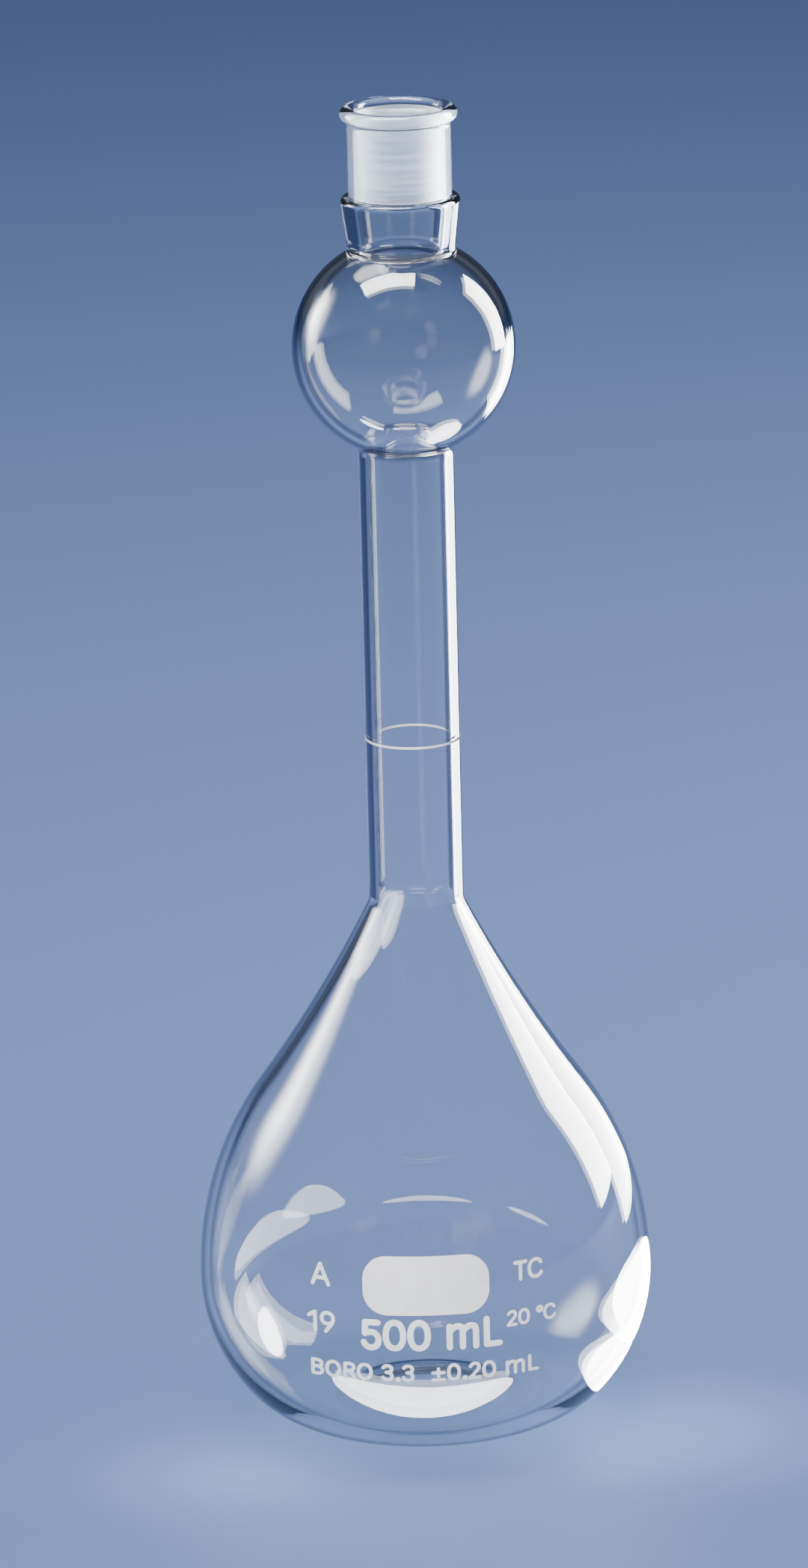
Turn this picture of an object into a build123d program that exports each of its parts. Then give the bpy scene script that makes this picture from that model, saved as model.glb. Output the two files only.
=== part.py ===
from build123d import *
from math import acos, asin, atan2, cos, degrees, radians, sin, sqrt
import os

# A 500 mL volumetric flask with a mixing bulb in its neck and a ground socket at its mouth.
# Every glass piece is turned about Z, and Z = 0 is the plane that the foot stands on.
# Sizes are in millimetres and angles in degrees. The marks face -Y.

# Flask body
body_radius = 49.89
belly_height = 33.0
wall = 1.85
floor = 2.6
foot_radius = 23.5
foot_flat = 0.12
heel_radius = 22.3
punt_height = 4.5
shoulder_radius = 73.1
shoulder_angle = 36.1
cone_radius = 297.0
throat_radius = 5.0

# Neck tube
neck_radius = 10.35
bore_radius = neck_radius - wall
neck_top = 218.5

# Mixing bulb
bulb_radius = 24.25
bulb_neck_blend = 2.5
bulb_bore_blend = 2.5
bulb_stem_blend = 1.0

# Joint stem, the heavy-walled flare between the bulb and the socket
stem_foot_radius = 11.8
stem_collar_radius = 13.05
stem_chamber_radius = 9.8
stem_length = 11.1
stem_rounding = 1.2

# Ground socket of standard taper 19: 18.8 mm across its mouth, 1 mm narrower every 10 mm down
socket_radius = 11.2
socket_length = 19.5
mouth_radius = 9.4
taper_slope = 0.05
bead_radius = 12.75
lip_radius = 1.6
bead_blend = 1.5

# Enamel marks, fired on the front of the glass
enamel = 0.12
line_height = 154.7
line_width = 0.5
spot_size = (27.5, 12.8)
spot_corner = 5.2
spot_height = 44.4
letter_font = "Relief SingleLine CAD"
letter_step = 0.3

# The words of each mark, with their font size, their stroke and the middle of their line
capacity_words = [("500 mL", 8.6, 1.35, (0.8, 32.9))]
tolerance_words = [("BORO 3.3  ±0.20 mL", 5.2, 0.75, (-0.8, 24.2))]
class_words = [("A", 6.4, 0.8, (-22.9, 45.5))]
socket_size_words = [("19", 6.2, 0.8, (-22.9, 35.0))]
calibration_words = [("TC", 5.4, 0.75, (22.4, 45.6)), ("20 °C", 4.4, 0.65, (22.8, 35.5))]

# Places that follow from the sizes above
heel_height = heel_radius - foot_flat
punt_drop = heel_height - punt_height
punt_radius = (foot_radius**2 + punt_drop**2 - heel_radius**2) / (2 * (heel_radius - punt_drop))
punt_tilt = degrees(asin(foot_radius / (heel_radius + punt_radius)))
cone_reach = shoulder_radius + cone_radius
cone_x = body_radius - shoulder_radius + cone_reach * cos(radians(shoulder_angle))
cone_z = belly_height + cone_reach * sin(radians(shoulder_angle))
throat_x = neck_radius + throat_radius
throat_reach = cone_radius - throat_radius
throat_angle = degrees(acos((cone_x - throat_x) / throat_reach))
neck_foot = cone_z - throat_reach * sin(radians(throat_angle))


def blend_circle(ball, tube, blend):
    """Reach, rise and tilt of the circle that blends a ball into a tube on its axis."""
    reach = tube + blend
    rise = sqrt((ball + blend) ** 2 - reach**2)
    return reach, rise, degrees(atan2(rise, reach))


bulb_height = neck_top + blend_circle(bulb_radius, neck_radius, bulb_neck_blend)[1]
stem_foot = bulb_height + blend_circle(bulb_radius - wall, bore_radius, bulb_bore_blend)[1]
stem_top = stem_foot + stem_length
rim_top = stem_top + socket_length


def finish(piece, name):
    """Name a finished piece and write it out."""
    piece.label = name
    export_step(piece, f"parts/{name}.step")


def body_arcs(side, base):
    """Section of the body from the middle of its base to the neck, set in by side and base."""
    heel = heel_radius - base
    reach = body_radius - side - foot_radius
    rise = belly_height - heel_height
    flank = (reach**2 + rise**2 - heel**2) / (2 * (reach - heel))
    flank_x = body_radius - side - flank
    flank_angle = degrees(atan2(rise, foot_radius - flank_x))
    shoulder_x = body_radius - shoulder_radius
    CenterArc((0, punt_height - punt_radius), punt_radius + base, 90, -punt_tilt)
    CenterArc((foot_radius, heel_height), heel, 270 - punt_tilt, 90 + punt_tilt - flank_angle)
    CenterArc((flank_x, belly_height), flank, -flank_angle, flank_angle)
    CenterArc((shoulder_x, belly_height), shoulder_radius - side, 0, shoulder_angle)
    CenterArc((cone_x, cone_z), cone_radius + side, 180 + shoulder_angle, throat_angle - shoulder_angle)
    CenterArc((throat_x, neck_foot), throat_radius + side, 180 + throat_angle, -throat_angle)


def make_flask_body():
    """Blown pear-shaped body with a thick base, pushed up in the middle and flat on its foot."""
    with BuildPart() as flask_body:
        with BuildSketch(Plane.XZ):
            with BuildLine():
                body_arcs(0, 0)
                body_arcs(wall, floor)
                Line((0, punt_height), (0, punt_height + floor))
                Line((bore_radius, neck_foot), (neck_radius, neck_foot))
            make_face()
        revolve(axis=Axis.Z)
        split(bisect_by=Plane.XY, keep=Keep.TOP)
    finish(flask_body.part, "flask_body")


def make_neck_tube():
    """Straight measuring tube between the body and the mixing bulb."""
    with BuildPart() as neck_tube:
        with BuildSketch(Plane.XY.offset(neck_foot)):
            Circle(neck_radius)
            Circle(bore_radius, mode=Mode.SUBTRACT)
        extrude(amount=neck_top - neck_foot)
    finish(neck_tube.part, "neck_tube")


def bulb_arcs(ball, low_tube, low_blend, high_tube, high_blend):
    """Section of a ball blended into the tube below it and the tube above it."""
    reach, rise, low_tilt = blend_circle(ball, low_tube, low_blend)
    CenterArc((reach, bulb_height - rise), low_blend, 180, -low_tilt)
    reach, rise, high_tilt = blend_circle(ball, high_tube, high_blend)
    CenterArc((0, bulb_height), ball, -low_tilt, low_tilt + high_tilt)
    return CenterArc((reach, bulb_height + rise), high_blend, 180 + high_tilt, -high_tilt)


def make_mixing_bulb():
    """Blown ball that leaves room above the line for shaking the contents."""
    with BuildPart() as mixing_bulb:
        with BuildSketch(Plane.XZ):
            with BuildLine():
                inner = bulb_radius - wall
                low_tube = (neck_radius, bulb_neck_blend)
                low_bore = (bore_radius, bulb_neck_blend + wall)
                outer = bulb_arcs(bulb_radius, *low_tube, stem_foot_radius, bulb_stem_blend)
                bulb_arcs(inner, *low_bore, bore_radius, bulb_bore_blend)
                Polyline(outer @ 1, (stem_foot_radius, stem_foot), (bore_radius, stem_foot))
                Line((bore_radius, neck_top), (neck_radius, neck_top))
            make_face()
        revolve(axis=Axis.Z)
    finish(mixing_bulb.part, "mixing_bulb")


def make_joint_stem():
    """Heavy stem that flares from the bulb to the collar under the socket."""
    with BuildPart() as joint_stem:
        with BuildSketch(Plane.XZ) as section:
            with BuildLine():
                Polyline(
                    (bore_radius, stem_foot),
                    (stem_foot_radius, stem_foot),
                    (stem_collar_radius, stem_top),
                    (stem_chamber_radius, stem_top),
                    close=True,
                )
            make_face()
            collar = section.vertices().sort_by(Axis.X)[-1]
            fillet(collar, stem_rounding)
        revolve(axis=Axis.Z)
    finish(joint_stem.part, "joint_stem")


def make_ground_socket():
    """Socket with a taper ground in its bore and a round bead at its rim."""
    bead_x = bead_radius - lip_radius
    lip_height = rim_top - lip_radius
    blend_x = socket_radius + bead_blend
    tilt = degrees(acos((blend_x - bead_x) / (lip_radius + bead_blend)))
    blend_height = lip_height - (lip_radius + bead_blend) * sin(radians(tilt))
    ground_foot_radius = mouth_radius - taper_slope * (lip_height - stem_top)
    with BuildPart() as ground_socket:
        with BuildSketch(Plane.XZ):
            with BuildLine():
                Line((socket_radius, stem_top), (socket_radius, blend_height))
                CenterArc((blend_x, blend_height), bead_blend, 180, -tilt)
                CenterArc((bead_x, lip_height), lip_radius, -tilt, 90 + tilt)
                Line((bead_x, rim_top), (mouth_radius + lip_radius, rim_top))
                CenterArc((mouth_radius + lip_radius, lip_height), lip_radius, 90, 90)
                Line((mouth_radius, lip_height), (ground_foot_radius, stem_top))
                Line((ground_foot_radius, stem_top), (socket_radius, stem_top))
            make_face()
        revolve(axis=Axis.Z)
    finish(ground_socket.part, "ground_socket")


def make_graduation_line():
    """Enamel ring round the neck at the height of 500 mL."""
    with BuildPart() as graduation_line:
        with BuildSketch(Plane.XY.offset(line_height - line_width / 2)):
            Circle(neck_radius + enamel)
            Circle(neck_radius, mode=Mode.SUBTRACT)
        extrude(amount=line_width)
    finish(graduation_line.part, "graduation_line")


def make_enamel_skin():
    """Thin skin over the whole body, which the marks on the body are cut from."""
    with BuildPart() as skin:
        with BuildSketch(Plane.XZ):
            with BuildLine():
                body_arcs(0, 0)
                body_arcs(-enamel, -enamel)
                Line((0, punt_height), (0, punt_height - enamel))
                Line((neck_radius, neck_foot), (neck_radius + enamel, neck_foot))
            make_face()
        revolve(axis=Axis.Z)
    return skin.part


def make_marking_spot(skin):
    """Round-cornered enamel spot on the belly to write on in pencil."""
    with BuildPart() as marking_spot:
        with BuildSketch(Plane.XZ):
            with Locations((0, spot_height)):
                RectangleRounded(*spot_size, spot_corner)
        extrude(amount=2 * body_radius)
        add(skin, mode=Mode.INTERSECT)
    finish(marking_spot.part, "marking_spot")


def letter_outlines(words, size, stroke, place):
    """Corner points of each letter's outlines, each with the mode that fills it or cuts it out."""
    with BuildSketch() as letters:
        with Locations(place):
            Text(words, font_size=size, font=letter_font, single_line_width=stroke)
    for letter in letters.sketch.faces():
        filled = [(letter.outer_wire(), Mode.ADD)]
        cut_out = [(hole, Mode.SUBTRACT) for hole in letter.inner_wires()]
        for outline, mode in filled + cut_out:
            count = round(outline.length / letter_step)
            yield [outline @ (index / count) for index in range(count)], mode


def make_lettering(skin, name, lines):
    """Enamel letters on the belly, from lines of words with a font size, a stroke and a place."""
    with BuildPart() as lettering:
        with BuildSketch(Plane.XZ):
            for line in lines:
                for corners, mode in letter_outlines(*line):
                    with BuildLine():
                        Polyline(corners, close=True)
                    make_face(mode=mode)
        extrude(amount=2 * body_radius)
        add(skin, mode=Mode.INTERSECT)
    finish(lettering.part, name)


def capacity_to_line():
    """Volume in millilitres that the body and the neck hold up to the graduation line."""
    with BuildPart() as contents:
        with BuildSketch(Plane.XZ):
            with BuildLine():
                body_arcs(wall, floor)
                Line((0, punt_height + floor), (0, line_height))
                Polyline((bore_radius, neck_foot), (bore_radius, line_height), (0, line_height))
            make_face()
        revolve(axis=Axis.Z)
    return contents.part.volume / 1000


os.makedirs("parts", exist_ok=True)
make_flask_body()
make_neck_tube()
make_mixing_bulb()
make_joint_stem()
make_ground_socket()
make_graduation_line()
enamel_skin = make_enamel_skin()
make_marking_spot(enamel_skin)
make_lettering(enamel_skin, "capacity_mark", capacity_words)
make_lettering(enamel_skin, "tolerance_mark", tolerance_words)
make_lettering(enamel_skin, "class_mark", class_words)
make_lettering(enamel_skin, "socket_size_mark", socket_size_words)
make_lettering(enamel_skin, "calibration_mark", calibration_words)
print("capacity to the line, mL:", round(capacity_to_line(), 1))
print("height of the neck's foot:", round(neck_foot, 2))
print("height of the bulb's centre:", round(bulb_height, 2))
print("heights of the stem's foot and top:", round(stem_foot, 2), round(stem_top, 2))
print("height of the rim:", round(rim_top, 2))
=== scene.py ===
from math import acos, asin, atan2, cos, pi, radians, sin, sqrt

import bpy
from mathutils import Matrix, Vector


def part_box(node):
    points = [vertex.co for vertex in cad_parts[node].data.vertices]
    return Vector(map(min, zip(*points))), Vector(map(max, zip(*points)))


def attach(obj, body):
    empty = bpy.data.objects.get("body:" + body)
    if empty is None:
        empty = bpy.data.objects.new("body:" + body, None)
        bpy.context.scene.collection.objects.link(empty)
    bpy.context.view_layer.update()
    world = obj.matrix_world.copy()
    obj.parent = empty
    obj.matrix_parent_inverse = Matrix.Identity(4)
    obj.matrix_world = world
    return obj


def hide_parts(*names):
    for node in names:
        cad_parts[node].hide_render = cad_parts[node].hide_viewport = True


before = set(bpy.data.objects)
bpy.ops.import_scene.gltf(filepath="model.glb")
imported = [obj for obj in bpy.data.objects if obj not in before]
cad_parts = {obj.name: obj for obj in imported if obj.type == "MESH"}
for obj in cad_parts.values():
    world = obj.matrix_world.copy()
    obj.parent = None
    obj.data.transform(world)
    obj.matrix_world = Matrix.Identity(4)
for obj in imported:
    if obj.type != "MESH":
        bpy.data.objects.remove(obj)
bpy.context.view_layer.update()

# ---------------------------------------------------------------- sizes, in metres and radians
MM = 0.001
AROUND = 192                      # faces round each turned piece
SMOOTH_ANGLE = radians(30)        # edges sharper than this stay crisp
MERGE_GAP = 0.002 * MM            # points closer than this become one

# The frame gives each glass piece's heights and its widest radius.
BODY_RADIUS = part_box("flask_body")[1].x
NECK_LOW, NECK_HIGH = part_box("neck_tube")
NECK_RADIUS, NECK_FOOT, NECK_TOP = NECK_HIGH.x, NECK_LOW.z, NECK_HIGH.z
BULB_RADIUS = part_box("mixing_bulb")[1].x
STEM_LOW, STEM_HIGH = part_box("joint_stem")
STEM_FOOT, STEM_TOP = STEM_LOW.z, STEM_HIGH.z
BEAD_RADIUS, RIM_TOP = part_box("ground_socket")[1].x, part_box("ground_socket")[1].z

# The outlines between them are drawn from the circles that the flask is designed on.
WALL = 1.85 * MM
FLOOR = 2.6 * MM
BORE_RADIUS = NECK_RADIUS - WALL
BELLY_HEIGHT = 33.0 * MM
FOOT_RADIUS = 23.5 * MM
FOOT_FLAT = 0.12 * MM
HEEL_RADIUS = 22.3 * MM
HEEL_HEIGHT = HEEL_RADIUS - FOOT_FLAT
PUNT_HEIGHT = 4.5 * MM
SHOULDER_RADIUS = 73.1 * MM
SHOULDER_ANGLE = radians(36.1)
CONE_RADIUS = 297.0 * MM
THROAT_RADIUS = 5.0 * MM
BULB_NECK_BLEND = 2.5 * MM
BULB_BORE_BLEND = 2.5 * MM
BULB_STEM_BLEND = 1.0 * MM
STEM_FOOT_RADIUS = 11.8 * MM
STEM_COLLAR_RADIUS = 13.05 * MM
STEM_CHAMBER_RADIUS = 9.8 * MM
STEM_ROUNDING = 1.2 * MM
SOCKET_RADIUS = 11.2 * MM
MOUTH_RADIUS = 9.4 * MM
TAPER_SLOPE = 0.05
LIP_RADIUS = 1.6 * MM
BEAD_BLEND = 1.5 * MM

# The neck and the stem stop this far short of the glass that they are fused to,
# so that no two faces coincide.
SEAM_GAP = 0.01 * MM

# The ground part of the bore reaches up to the lip. NEAR is how close to a height a face
# counts as lying at it.
GROUND_TOP = RIM_TOP - LIP_RADIUS
NEAR = 0.02 * MM

# Faces along each curve of the outlines.
PUNT_STEPS = 12
FOOT_STEPS = 8
FOOT_FLAT_STEPS = 4
HEEL_STEPS = 20
INNER_HEEL_STEPS = 26
FLANK_STEPS = 12
SHOULDER_STEPS = 24
CONE_STEPS = 16
THROAT_STEPS = 8
NECK_STEPS = 40
BALL_STEPS = 60
NECK_BLEND_STEPS = 10
STEM_BLEND_STEPS = 8
STEM_STEPS = 8
ROUNDING_STEPS = 10
SOCKET_STEPS = 12
BEAD_STEPS = 20
LIP_STEPS = 12
BEAD_BLEND_STEPS = 8


# ---------------------------------------------------------------- turning glass, as on a lathe
def begin_section(x, z):
    """One point in the section plane, ready to be drawn out into an outline."""
    bpy.ops.object.select_all(action="DESELECT")
    bpy.ops.mesh.primitive_plane_add(size=MM, location=(x, 0, z))
    bpy.ops.object.transform_apply(location=True, rotation=False, scale=False)
    bpy.ops.object.mode_set(mode="EDIT")
    bpy.ops.mesh.select_all(action="SELECT")
    bpy.ops.mesh.merge(type="CENTER")


def run(dx, dz, steps=1):
    """Draws the outline on in a straight line."""
    for _ in range(steps):
        bpy.ops.mesh.extrude_region_move(
            TRANSFORM_OT_translate={"value": (dx / steps, 0, dz / steps)}
        )


def arc(centre_x, centre_z, angle, steps):
    """Draws the outline on round a centre, counter-clockwise where the angle is positive."""
    bpy.ops.mesh.spin(steps=steps, angle=angle, center=(centre_x, 0, centre_z), axis=(0, 1, 0))


def turn_section(name):
    """Turns the outline about the flask's axis into closed glass with its faces outward."""
    bpy.ops.mesh.select_all(action="SELECT")
    bpy.ops.mesh.spin(steps=AROUND, angle=2 * pi, center=(0, 0, 0), axis=(0, 0, 1))
    bpy.ops.mesh.select_all(action="SELECT")
    bpy.ops.mesh.remove_doubles(threshold=MERGE_GAP)
    bpy.ops.mesh.normals_make_consistent(inside=False)
    bpy.ops.object.mode_set(mode="OBJECT")
    piece = bpy.context.active_object
    piece.name = piece.data.name = name
    bpy.ops.object.shade_smooth_by_angle(angle=SMOOTH_ANGLE)
    return piece


def blend_circle(ball, tube, blend):
    """Reach, rise and tilt of the circle that blends a ball into a tube on its axis."""
    reach = tube + blend
    rise = sqrt((ball + blend) ** 2 - reach ** 2)
    return reach, rise, atan2(rise, reach)


BULB_HEIGHT = NECK_TOP + blend_circle(BULB_RADIUS, NECK_RADIUS, BULB_NECK_BLEND)[1]


# ---------------------------------------------------------------- glass pieces
def make_body():
    """Blown body, from the middle of its base, out and up to the neck, and down inside."""
    drop = HEEL_HEIGHT - PUNT_HEIGHT
    punt_radius = (FOOT_RADIUS ** 2 + drop ** 2 - HEEL_RADIUS ** 2) / (2 * (HEEL_RADIUS - drop))
    punt_tilt = asin(FOOT_RADIUS / (HEEL_RADIUS + punt_radius))
    foot_tilt = acos(HEEL_HEIGHT / HEEL_RADIUS)
    cone_reach = SHOULDER_RADIUS + CONE_RADIUS
    cone = (BODY_RADIUS - SHOULDER_RADIUS + cone_reach * cos(SHOULDER_ANGLE),
            BELLY_HEIGHT + cone_reach * sin(SHOULDER_ANGLE))
    throat = (NECK_RADIUS + THROAT_RADIUS, NECK_FOOT)
    throat_angle = acos((cone[0] - throat[0]) / (CONE_RADIUS - THROAT_RADIUS))
    shoulder = (BODY_RADIUS - SHOULDER_RADIUS, BELLY_HEIGHT)

    def flank(side, base):
        """Centre and angle of the arc from the heel to the belly, set in by side and base."""
        heel = HEEL_RADIUS - base
        reach = BODY_RADIUS - side - FOOT_RADIUS
        rise = BELLY_HEIGHT - HEEL_HEIGHT
        radius = (reach ** 2 + rise ** 2 - heel ** 2) / (2 * (reach - heel))
        centre_x = BODY_RADIUS - side - radius
        return (centre_x, BELLY_HEIGHT), atan2(rise, FOOT_RADIUS - centre_x)

    begin_section(0, PUNT_HEIGHT)
    arc(0, PUNT_HEIGHT - punt_radius, -punt_tilt, PUNT_STEPS)
    arc(FOOT_RADIUS, HEEL_HEIGHT, punt_tilt - foot_tilt, FOOT_STEPS)
    run(2 * HEEL_RADIUS * sin(foot_tilt), 0, FOOT_FLAT_STEPS)
    centre, angle = flank(0, 0)
    arc(FOOT_RADIUS, HEEL_HEIGHT, pi / 2 - foot_tilt - angle, HEEL_STEPS)
    arc(*centre, angle, FLANK_STEPS)
    arc(*shoulder, SHOULDER_ANGLE, SHOULDER_STEPS)
    arc(*cone, throat_angle - SHOULDER_ANGLE, CONE_STEPS)
    arc(*throat, -throat_angle, THROAT_STEPS)
    run(-WALL, 0)
    arc(*throat, throat_angle, THROAT_STEPS)
    arc(*cone, SHOULDER_ANGLE - throat_angle, CONE_STEPS)
    arc(*shoulder, -SHOULDER_ANGLE, SHOULDER_STEPS)
    centre, angle = flank(WALL, FLOOR)
    arc(*centre, -angle, FLANK_STEPS)
    arc(FOOT_RADIUS, HEEL_HEIGHT, angle - pi / 2 - punt_tilt, INNER_HEEL_STEPS)
    arc(0, PUNT_HEIGHT - punt_radius, punt_tilt, PUNT_STEPS)
    return turn_section("blown_body")


def make_neck():
    """Drawn tube between the body and the bulb."""
    length = NECK_TOP - NECK_FOOT - 2 * SEAM_GAP
    begin_section(NECK_RADIUS, NECK_FOOT + SEAM_GAP)
    run(0, length, NECK_STEPS)
    run(-WALL, 0)
    run(0, -length, NECK_STEPS)
    run(WALL, 0)
    return turn_section("measuring_neck")


def make_bulb():
    """Blown ball between the neck and the stem."""
    inner = BULB_RADIUS - WALL
    low_reach, low_rise, low_tilt = blend_circle(BULB_RADIUS, NECK_RADIUS, BULB_NECK_BLEND)
    high_reach, high_rise, high_tilt = blend_circle(BULB_RADIUS, STEM_FOOT_RADIUS, BULB_STEM_BLEND)
    bore_reach, bore_rise, bore_tilt = blend_circle(inner, BORE_RADIUS, BULB_BORE_BLEND)
    begin_section(NECK_RADIUS, NECK_TOP)
    arc(low_reach, BULB_HEIGHT - low_rise, -low_tilt, NECK_BLEND_STEPS)
    arc(0, BULB_HEIGHT, low_tilt + high_tilt, BALL_STEPS)
    arc(high_reach, BULB_HEIGHT + high_rise, -high_tilt, STEM_BLEND_STEPS)
    run(0, STEM_FOOT - BULB_HEIGHT - high_rise)
    run(BORE_RADIUS - STEM_FOOT_RADIUS, 0)
    arc(bore_reach, BULB_HEIGHT + bore_rise, bore_tilt, STEM_BLEND_STEPS)
    arc(0, BULB_HEIGHT, -low_tilt - bore_tilt, BALL_STEPS)
    arc(low_reach, BULB_HEIGHT - low_rise, low_tilt, NECK_BLEND_STEPS)
    run(WALL, 0)
    return turn_section("mixing_ball")


def make_stem():
    """Heavy flare from the bulb up to the collar round the foot of the socket."""
    foot = STEM_FOOT + SEAM_GAP
    top = STEM_TOP - SEAM_GAP
    lean = atan2(STEM_COLLAR_RADIUS - STEM_FOOT_RADIUS, top - foot)
    turn = pi / 2 + lean
    trim = STEM_ROUNDING * sin(turn / 2) / cos(turn / 2)
    side = (top - foot) / cos(lean) - trim
    begin_section(STEM_FOOT_RADIUS, foot)
    run(side * sin(lean), side * cos(lean), STEM_STEPS)
    corner_x = STEM_FOOT_RADIUS + side * sin(lean) - STEM_ROUNDING * cos(lean)
    arc(corner_x, top - STEM_ROUNDING, turn, ROUNDING_STEPS)
    run(SOCKET_RADIUS - corner_x, 0)
    run(STEM_CHAMBER_RADIUS - SOCKET_RADIUS, 0)
    run(BORE_RADIUS - STEM_CHAMBER_RADIUS, foot - top, STEM_STEPS)
    run(STEM_FOOT_RADIUS - BORE_RADIUS, 0)
    return turn_section("flared_stem")


def make_socket():
    """Socket with its taper ground in the bore, and a bead melted round at the rim."""
    bead_x = BEAD_RADIUS - LIP_RADIUS
    lip_height = RIM_TOP - LIP_RADIUS
    blend_x = SOCKET_RADIUS + BEAD_BLEND
    tilt = acos((blend_x - bead_x) / (LIP_RADIUS + BEAD_BLEND))
    blend_height = lip_height - (LIP_RADIUS + BEAD_BLEND) * sin(tilt)
    ground_length = lip_height - STEM_TOP
    ground_foot = MOUTH_RADIUS - TAPER_SLOPE * ground_length
    begin_section(SOCKET_RADIUS, STEM_TOP)
    run(0, blend_height - STEM_TOP, SOCKET_STEPS)
    arc(blend_x, blend_height, -tilt, BEAD_BLEND_STEPS)
    arc(bead_x, lip_height, pi / 2 + tilt, BEAD_STEPS)
    run(MOUTH_RADIUS + LIP_RADIUS - bead_x, 0)
    arc(MOUTH_RADIUS + LIP_RADIUS, lip_height, pi / 2, LIP_STEPS)
    run(ground_foot - MOUTH_RADIUS, -ground_length, SOCKET_STEPS)
    run(STEM_CHAMBER_RADIUS - ground_foot, 0)
    run(SOCKET_RADIUS - STEM_CHAMBER_RADIUS, 0)
    return turn_section("taper_socket")


# ---------------------------------------------------------------- finishes
# Pattern scales are in cycles per metre, and depths are in metres.
GLASS_INDEX = 1.473
SLANT_BLEND = 0.5
CLEAR_TINT = (0.98, 0.99, 0.985)
# Painted shade: the near black that the clear glass takes where it is seen along its wall, and how
# far in it fades.
EDGE_PAINTED_SHADE = (0.03, 0.04, 0.07)
PAINTED_SHADE_FADE = 0.10
WAVE_SCALE, WAVE_DEPTH, WAVE_STRETCH = 55, 0.003 * MM, (1, 1, 0.45)
SEED_SCALE, SEED_DEPTH = 420, 0.0006 * MM
GLOSS_SCALE, GLOSS_RANGE = 90, (0.0, 0.012)
GRIT_SCALE, GRIT_DEPTH = 5200, 0.012 * MM
RING_SCALE, RING_DEPTH, RING_STRETCH = 900, 0.02 * MM, (0.08, 0.08, 1)
GROUND_CLEARNESS = 0.7
GROUND_ROUGHNESS = (0.5, 0.7)
GROUND_TINTS = (0.35, (0.58, 0.67, 0.84)), (0.7, (0.74, 0.81, 0.94))
# Painted sheen: the white that the ground bore takes towards its edges, where it is seen at a
# slant.
GROUND_EDGE_PAINTED_SHEEN = (0.97, 0.98, 1.0, 1)
CLOUD_SCALE = 260
ENAMEL_TINTS = (0.3, (0.86, 0.855, 0.82)), (0.7, (0.94, 0.94, 0.92))
ENAMEL_ROUGHNESS = (0.42, 0.6)
SCREEN_SCALE, SCREEN_DEPTH = 2600, 0.012 * MM
GLASS_SHADE = (0.93, 0.95, 0.95, 1)
GROUND_SHADE = (0.7, 0.72, 0.74, 1)
NOISE_LOW, NOISE_HIGH = 0.35, 0.65


def new_material(name):
    """A material, its emptied tree, and a new output node in that tree."""
    material = bpy.data.materials.new(name)
    material.use_nodes = True
    tree = material.node_tree
    tree.nodes.clear()
    return material, tree, tree.nodes.new("ShaderNodeOutputMaterial")


def pattern(tree, scale, detail, stretch=(1, 1, 1)):
    """Noise fixed to the piece, drawn out along an axis by a stretch below 1."""
    place = tree.nodes.new("ShaderNodeTexCoord")
    squeeze = tree.nodes.new("ShaderNodeMapping")
    squeeze.inputs["Scale"].default_value = stretch
    noise = tree.nodes.new("ShaderNodeTexNoise")
    noise.inputs["Scale"].default_value = scale
    noise.inputs["Detail"].default_value = detail
    tree.links.new(place.outputs["Object"], squeeze.inputs["Vector"])
    tree.links.new(squeeze.outputs["Vector"], noise.inputs["Vector"])
    return noise.outputs["Fac"]


def between(tree, value, low, high):
    """The middle of a pattern's range spread out between low and high."""
    spread = tree.nodes.new("ShaderNodeMapRange")
    spread.inputs["From Min"].default_value = NOISE_LOW
    spread.inputs["From Max"].default_value = NOISE_HIGH
    spread.inputs["To Min"].default_value = low
    spread.inputs["To Max"].default_value = high
    tree.links.new(value, spread.inputs["Value"])
    return spread.outputs["Result"]


def tints(tree, value, *stops):
    """A pattern's value turned into colours, from stops of place and colour."""
    ramp = tree.nodes.new("ShaderNodeValToRGB")
    for index, (place, colour) in enumerate(stops):
        stop = ramp.color_ramp.elements[index]
        stop.position, stop.color = place, (*colour, 1)
    tree.links.new(value, ramp.inputs["Fac"])
    return ramp.outputs["Color"]


def raised(tree, height, depth, under=None):
    """The surface raised and sunk by a pattern to a depth, on top of another such surface."""
    bump = tree.nodes.new("ShaderNodeBump")
    bump.inputs["Strength"].default_value = 1.0
    bump.inputs["Distance"].default_value = depth
    tree.links.new(height, bump.inputs["Height"])
    if under:
        tree.links.new(under, bump.inputs["Normal"])
    return bump.outputs["Normal"]


def let_lamps_through(tree, shader, output, tint):
    """Lets lamp light and floor light through the glass unbent, and tinted."""
    path = tree.nodes.new("ShaderNodeLightPath")
    clear = tree.nodes.new("ShaderNodeBsdfTransparent")
    clear.inputs["Color"].default_value = tint
    seen = shader.outputs[0]
    for ray in ("Is Diffuse Ray", "Is Shadow Ray"):
        mix = tree.nodes.new("ShaderNodeMixShader")
        tree.links.new(path.outputs[ray], mix.inputs["Fac"])
        tree.links.new(seen, mix.inputs[1])
        tree.links.new(clear.outputs[0], mix.inputs[2])
        seen = mix.outputs[0]
    tree.links.new(seen, output.inputs["Surface"])


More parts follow.
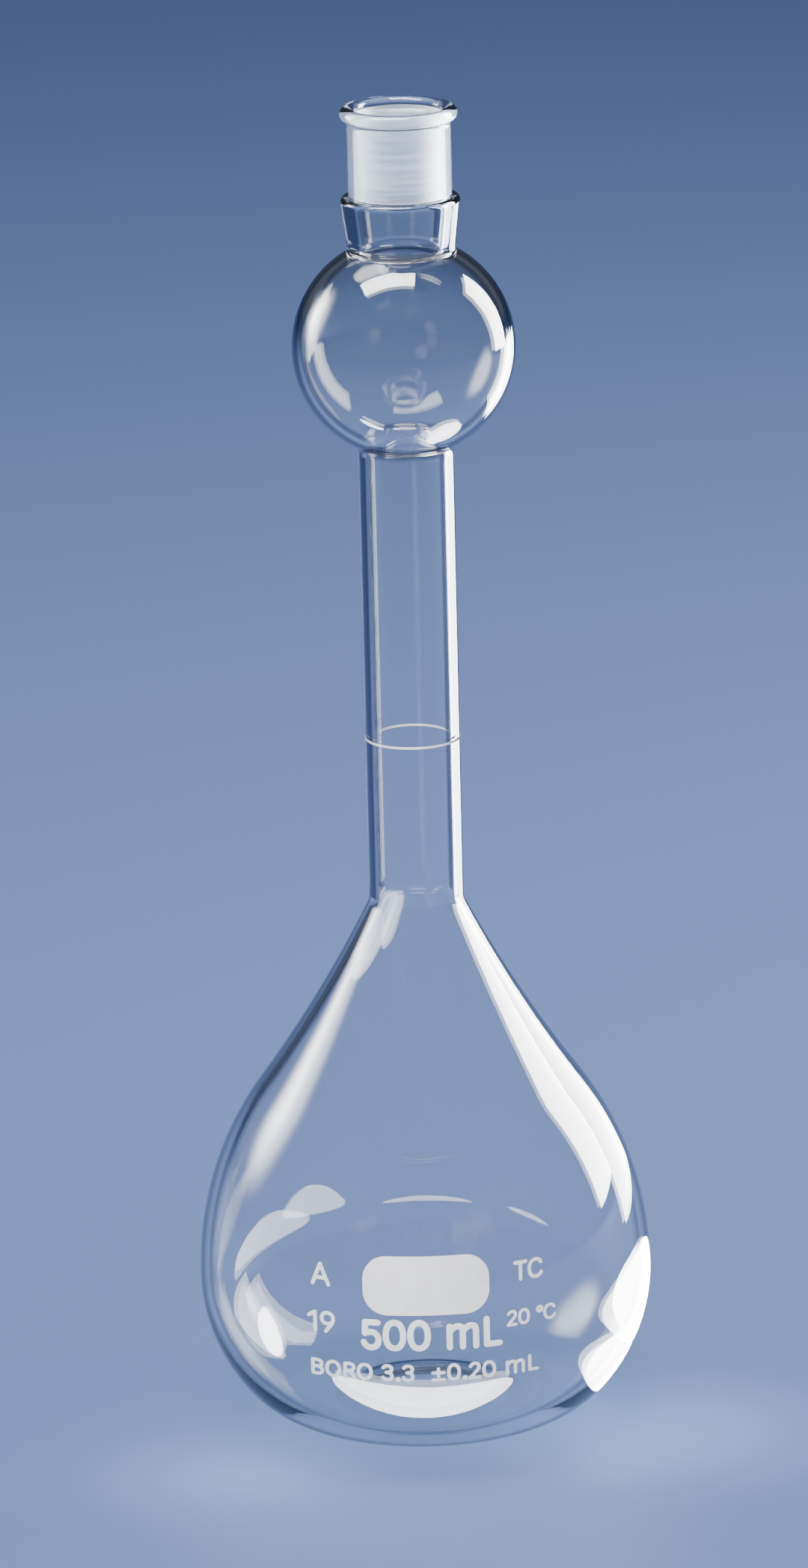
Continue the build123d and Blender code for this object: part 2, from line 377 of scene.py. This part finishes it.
def clear_glass(name, radius, wall):
    """Fire-polished borosilicate with faint waves, and painted shade that turns it near black
    where it is seen along its wall.
    """
    material, tree, output = new_material(name)
    glass = tree.nodes.new("ShaderNodeBsdfPrincipled")
    glass.inputs["IOR"].default_value = GLASS_INDEX
    glass.inputs["Transmission Weight"].default_value = 1.0
    # Painted shade: the base colour fades to near black towards the edges, where the glass is seen
    # along its wall.
    slant = tree.nodes.new("ShaderNodeLayerWeight")
    slant.inputs["Blend"].default_value = SLANT_BLEND
    wall_start = 1 - sqrt(1 - (1 - wall / radius) ** 2)
    stops = (wall_start, CLEAR_TINT), (wall_start + PAINTED_SHADE_FADE, EDGE_PAINTED_SHADE)
    tree.links.new(tints(tree, slant.outputs["Facing"], *stops), glass.inputs["Base Color"])
    waves = raised(tree, pattern(tree, WAVE_SCALE, detail=1, stretch=WAVE_STRETCH), WAVE_DEPTH)
    seeds = raised(tree, pattern(tree, SEED_SCALE, detail=2), SEED_DEPTH, waves)
    tree.links.new(seeds, glass.inputs["Normal"])
    gloss = between(tree, pattern(tree, GLOSS_SCALE, detail=6), *GLOSS_RANGE)
    tree.links.new(gloss, glass.inputs["Roughness"])
    let_lamps_through(tree, glass, output, GLASS_SHADE)
    return material


def ground_glass():
    """Bore ground with fine grit, which leaves faint rings round it where the tool turned."""
    material, tree, output = new_material("ground_bore")
    glass = tree.nodes.new("ShaderNodeBsdfPrincipled")
    glass.inputs["IOR"].default_value = GLASS_INDEX
    glass.inputs["Transmission Weight"].default_value = GROUND_CLEARNESS
    rings = pattern(tree, RING_SCALE, detail=3, stretch=RING_STRETCH)
    grit = raised(tree, pattern(tree, GRIT_SCALE, detail=2), GRIT_DEPTH)
    tree.links.new(raised(tree, rings, RING_DEPTH, grit), glass.inputs["Normal"])
    tree.links.new(between(tree, rings, *GROUND_ROUGHNESS), glass.inputs["Roughness"])
    # Painted sheen: the base colour turns from the ring tints to white towards the edges.
    slant = tree.nodes.new("ShaderNodeLayerWeight")
    slant.inputs["Blend"].default_value = SLANT_BLEND
    frost_and_sheen = tree.nodes.new("ShaderNodeMix")
    frost_and_sheen.data_type = "RGBA"
    frost_and_sheen.inputs["B"].default_value = GROUND_EDGE_PAINTED_SHEEN
    tree.links.new(slant.outputs["Facing"], frost_and_sheen.inputs["Factor"])
    tree.links.new(tints(tree, rings, *GROUND_TINTS), frost_and_sheen.inputs["A"])
    tree.links.new(frost_and_sheen.outputs["Result"], glass.inputs["Base Color"])
    let_lamps_through(tree, glass, output, GROUND_SHADE)
    return material


def seam():
    """The cut ends where two pieces of glass are fused, which show nothing."""
    material, tree, output = new_material("fused_seam")
    clear = tree.nodes.new("ShaderNodeBsdfTransparent")
    tree.links.new(clear.outputs[0], output.inputs["Surface"])
    return material


def enamel():
    """Matt white enamel, screened on and fired, a little uneven in thickness and gloss."""
    material, tree, output = new_material("fired_enamel")
    coat = tree.nodes.new("ShaderNodeBsdfPrincipled")
    cloud = pattern(tree, CLOUD_SCALE, detail=4)
    tree.links.new(tints(tree, cloud, *ENAMEL_TINTS), coat.inputs["Base Color"])
    tree.links.new(between(tree, cloud, *ENAMEL_ROUGHNESS), coat.inputs["Roughness"])
    screen = raised(tree, pattern(tree, SCREEN_SCALE, detail=3), SCREEN_DEPTH)
    tree.links.new(screen, coat.inputs["Normal"])
    tree.links.new(coat.outputs[0], output.inputs["Surface"])
    return material


def assign(piece, materials, pick):
    """Gives each face the material that pick chooses from its heights and radii."""
    for material in materials:
        piece.data.materials.append(material)
    for face in piece.data.polygons:
        corners = [piece.data.vertices[index].co for index in face.vertices]
        heights = [corner.z for corner in corners]
        radii = [corner.xy.length for corner in corners]
        face.material_index = pick(min(heights), max(heights), min(radii), max(radii))


BODY_GLASS = clear_glass("body_borosilicate", BODY_RADIUS, WALL)
NECK_GLASS = clear_glass("neck_borosilicate", NECK_RADIUS, WALL)
BULB_GLASS = clear_glass("bulb_borosilicate", BULB_RADIUS, WALL)
STEM_GLASS = clear_glass("stem_borosilicate", STEM_FOOT_RADIUS, STEM_FOOT_RADIUS - BORE_RADIUS)
SOCKET_GLASS = clear_glass("socket_borosilicate", SOCKET_RADIUS, SOCKET_RADIUS - MOUTH_RADIUS)
GROUND = ground_glass()
SEAM = seam()
ENAMEL = enamel()


def level(low, high, height):
    """Whether a face lies flat at a height."""
    return abs(low - height) < NEAR and abs(high - height) < NEAR


def ends_at(*heights):
    """Chooses the seam for the faces that lie flat at any of the heights."""
    def pick(low, high, near, far):
        return int(any(level(low, high, height) for height in heights))
    return pick


def stem_finish(low, high, near, far):
    """Chooses the seam for the stem's foot, and for its top as far out as the socket's side."""
    under_socket = level(low, high, STEM_TOP) and far < SOCKET_RADIUS + NEAR
    return int(under_socket or level(low, high, STEM_FOOT))


def socket_finish(low, high, near, far):
    """Chooses the seam for the socket's foot, and the ground finish for its taper."""
    if level(low, high, STEM_TOP) and near > STEM_CHAMBER_RADIUS - NEAR:
        return 2
    if far < MOUTH_RADIUS + NEAR and high < GROUND_TOP + NEAR and not level(low, high, STEM_TOP):
        return 1
    return 0


body = make_body()
neck = make_neck()
bulb = make_bulb()
stem = make_stem()
socket = make_socket()
assign(body, [BODY_GLASS, SEAM], ends_at(NECK_FOOT))
assign(neck, [NECK_GLASS, SEAM], ends_at(NECK_FOOT, NECK_TOP))
assign(bulb, [BULB_GLASS, SEAM], ends_at(NECK_TOP, STEM_FOOT))
assign(stem, [STEM_GLASS, SEAM], stem_finish)
assign(socket, [SOCKET_GLASS, GROUND, SEAM], socket_finish)
for piece, node, finish in (
    (body, "flask_body", "clear_glass"),
    (neck, "neck_tube", "clear_glass"),
    (bulb, "mixing_bulb", "clear_glass"),
    (stem, "joint_stem", "clear_glass"),
    (socket, "ground_socket", "ground_glass"),
):
    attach(piece, "root")
    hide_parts(node)

MARKS = [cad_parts[node] for node in (
    "graduation_line", "marking_spot", "capacity_mark", "tolerance_mark", "class_mark",
    "socket_size_mark", "calibration_mark",
)]
for mark in MARKS:
    mark.data.materials.clear()
    mark.data.materials.append(ENAMEL)


# ---------------------------------------------------------------- studio
GLASS = [body, neck, bulb, stem, socket]
CARD_HEIGHT = 3 * MM
FLOOR_SIZE = 16
FLOOR_COLOUR = (0.30, 0.42, 0.85, 1)
FLOOR_ROUGHNESS = 0.6
FLOOR_SHEEN = 0.1
AIR_COLOUR = (0.50, 0.60, 0.85, 1)
AIR_BRIGHTNESS = 0.16
MIDDLE_GAIN = 3.0                 # a faded lamp's middle, against the same lamp unfaded
POOL_LAMP_HEIGHT = 0.5
POOL_LAMP_RADIUS = 0.02


def make_floor():
    """Plain pale floor that the flask stands on."""
    bpy.ops.object.select_all(action="DESELECT")
    bpy.ops.mesh.primitive_plane_add(size=FLOOR_SIZE, location=(0, 0, 0))
    floor = bpy.context.active_object
    floor.name = "studio_floor"
    material, tree, output = new_material("pale_floor")
    paint = tree.nodes.new("ShaderNodeBsdfPrincipled")
    paint.inputs["Base Color"].default_value = FLOOR_COLOUR
    paint.inputs["Roughness"].default_value = FLOOR_ROUGHNESS
    paint.inputs["Specular IOR Level"].default_value = FLOOR_SHEEN
    tree.links.new(paint.outputs[0], output.inputs["Surface"])
    floor.data.materials.append(material)
    return floor


def light_only(holder, receivers):
    """Keeps a lamp's light to its receivers."""
    lit = bpy.data.collections.new(holder.name + "_receivers")
    for piece in receivers:
        lit.objects.link(piece)
    holder.light_linking.receiver_collection = lit


def fade_edges(lamp):
    """Makes an area lamp brightest in its middle and dark at its edges, as a cloth softbox is."""
    lamp.use_nodes = True
    tree = lamp.node_tree
    glow = tree.nodes["Emission"]
    place = tree.nodes.new("ShaderNodeNewGeometry")
    centre = tree.nodes.new("ShaderNodeMapping")
    centre.inputs["Location"].default_value = (-1, -1, 0)
    centre.inputs["Scale"].default_value = (2, 2, 0)
    fall = tree.nodes.new("ShaderNodeTexGradient")
    fall.gradient_type = "QUADRATIC_SPHERE"
    tree.links.new(place.outputs["Parametric"], centre.inputs["Vector"])
    tree.links.new(centre.outputs["Vector"], fall.inputs["Vector"])
    scale = tree.nodes.new("ShaderNodeMath")
    scale.operation = "MULTIPLY"
    scale.inputs[1].default_value = MIDDLE_GAIN
    tree.links.new(fall.outputs["Fac"], scale.inputs[0])
    tree.links.new(scale.outputs[0], glow.inputs["Strength"])


def softbox(name, place, target, size, brightness, receivers, faded=False, shape="RECTANGLE"):
    """Area lamp of a width and a height that lights only its receivers."""
    lamp = bpy.data.lights.new(name, "AREA")
    lamp.shape = shape
    lamp.size, lamp.size_y = size
    lamp.energy = brightness * pi * size[0] * size[1]
    if faded:
        fade_edges(lamp)
    holder = bpy.data.objects.new(name, lamp)
    bpy.context.scene.collection.objects.link(holder)
    holder.location = place
    holder.rotation_euler = (Vector(target) - Vector(place)).to_track_quat("-Z", "Y").to_euler()
    holder.visible_camera = False
    light_only(holder, receivers)


def card(name, x, y, size, brightness):
    """Glowing oval that lies just above the floor and shows only in the glass."""
    softbox(name, (x, y, CARD_HEIGHT), (x, y, 1.0), size, brightness, GLASS, shape="ELLIPSE")


def pool(name, place, reach, power, floor):
    """Small soft pool of light on the floor, such as a flask's curved glass gathers."""
    lamp = bpy.data.lights.new(name, "SPOT")
    lamp.energy = power
    lamp.spot_size = 2 * atan2(reach, POOL_LAMP_HEIGHT)
    lamp.spot_blend = 1.0
    lamp.shadow_soft_size = POOL_LAMP_RADIUS
    holder = bpy.data.objects.new(name, lamp)
    bpy.context.scene.collection.objects.link(holder)
    holder.location = (*place, POOL_LAMP_HEIGHT)
    light_only(holder, [floor])


floor = make_floor()

# Each softbox has a place, a target, a width and height, a brightness and its receivers.
# Each card has an x, a y, a width and depth and a brightness.
# Each pool has a place, a reach and a power.
softbox("overhead_softbox", (-0.10, -0.05, 1.5), (0, 0.10, 0.0), (0.8, 0.8), 7, [floor])
softbox("right_softbox", (1.1, 0.35, 0.55), (0, 0, 0.14), (0.5, 0.9), 6, [floor])
softbox("right_window", (0.9, 0.45, 0.50), (0, 0, 0.14), (0.40, 0.9), 70, GLASS)
softbox("right_panel", (0.24, 0.25, 0.10), (0, 0, 0.10), (0.18, 0.20), 30, GLASS)
card("right_card", 0.101, 0.049, (0.108, 0.13), 27)
card("heel_card", 0.054, -0.001, (0.031, 0.052), 27)
card("front_card", -0.003, -0.0525, (0.068, 0.015), 34)
card("left_card", -0.108, -0.035, (0.09, 0.022), 40)
softbox("left_softbox", (-0.95, 0.45, 0.5), (0, 0, 0.14), (0.7, 0.9), 14, GLASS, faded=True)
softbox("overhead_window", (-0.25, -0.10, 1.45), (0, -0.10, 0.24), (0.38, 1.0), 60,
        [bulb, stem, socket])
softbox("front_softbox", (-0.5, -2.2, 0.9), (0, 0, 0.1), (0.9, 0.9), 40, MARKS)
pool("right_pool", (0.052, -0.022), 0.042, 5.0, floor)
pool("left_pool", (-0.045, -0.047), 0.028, 4.0, floor)
pool("base_pool", (0.0, -0.005), 0.035, 0.8, floor)

world = bpy.data.worlds.new("studio_air")
world.use_nodes = True
air = world.node_tree.nodes["Background"]
air.inputs["Color"].default_value = AIR_COLOUR
air.inputs["Strength"].default_value = AIR_BRIGHTNESS
bpy.context.scene.world = world

# ---------------------------------------------------------------- camera
CAMERA_PLACE = Vector((0, -2.0, 0.704))
CAMERA_PITCH = 0.2731
CAMERA_YAW = 0.0011
CAMERA_ROLL = -0.0238
CAMERA_LENS = 217.9
SENSOR_WIDTH = 36
CLIP_END = 50
lens = bpy.data.cameras.new("studio_camera")
lens.lens = CAMERA_LENS
lens.sensor_width = SENSOR_WIDTH
lens.clip_end = CLIP_END
camera = bpy.data.objects.new("studio_camera", lens)
bpy.context.scene.collection.objects.link(camera)
camera.matrix_world = (
    Matrix.Translation(CAMERA_PLACE)
    @ Matrix.Rotation(CAMERA_YAW, 4, "Z")
    @ Matrix.Rotation(pi / 2 - CAMERA_PITCH, 4, "X")
    @ Matrix.Rotation(CAMERA_ROLL, 4, "Z")
)
bpy.context.scene.camera = camera
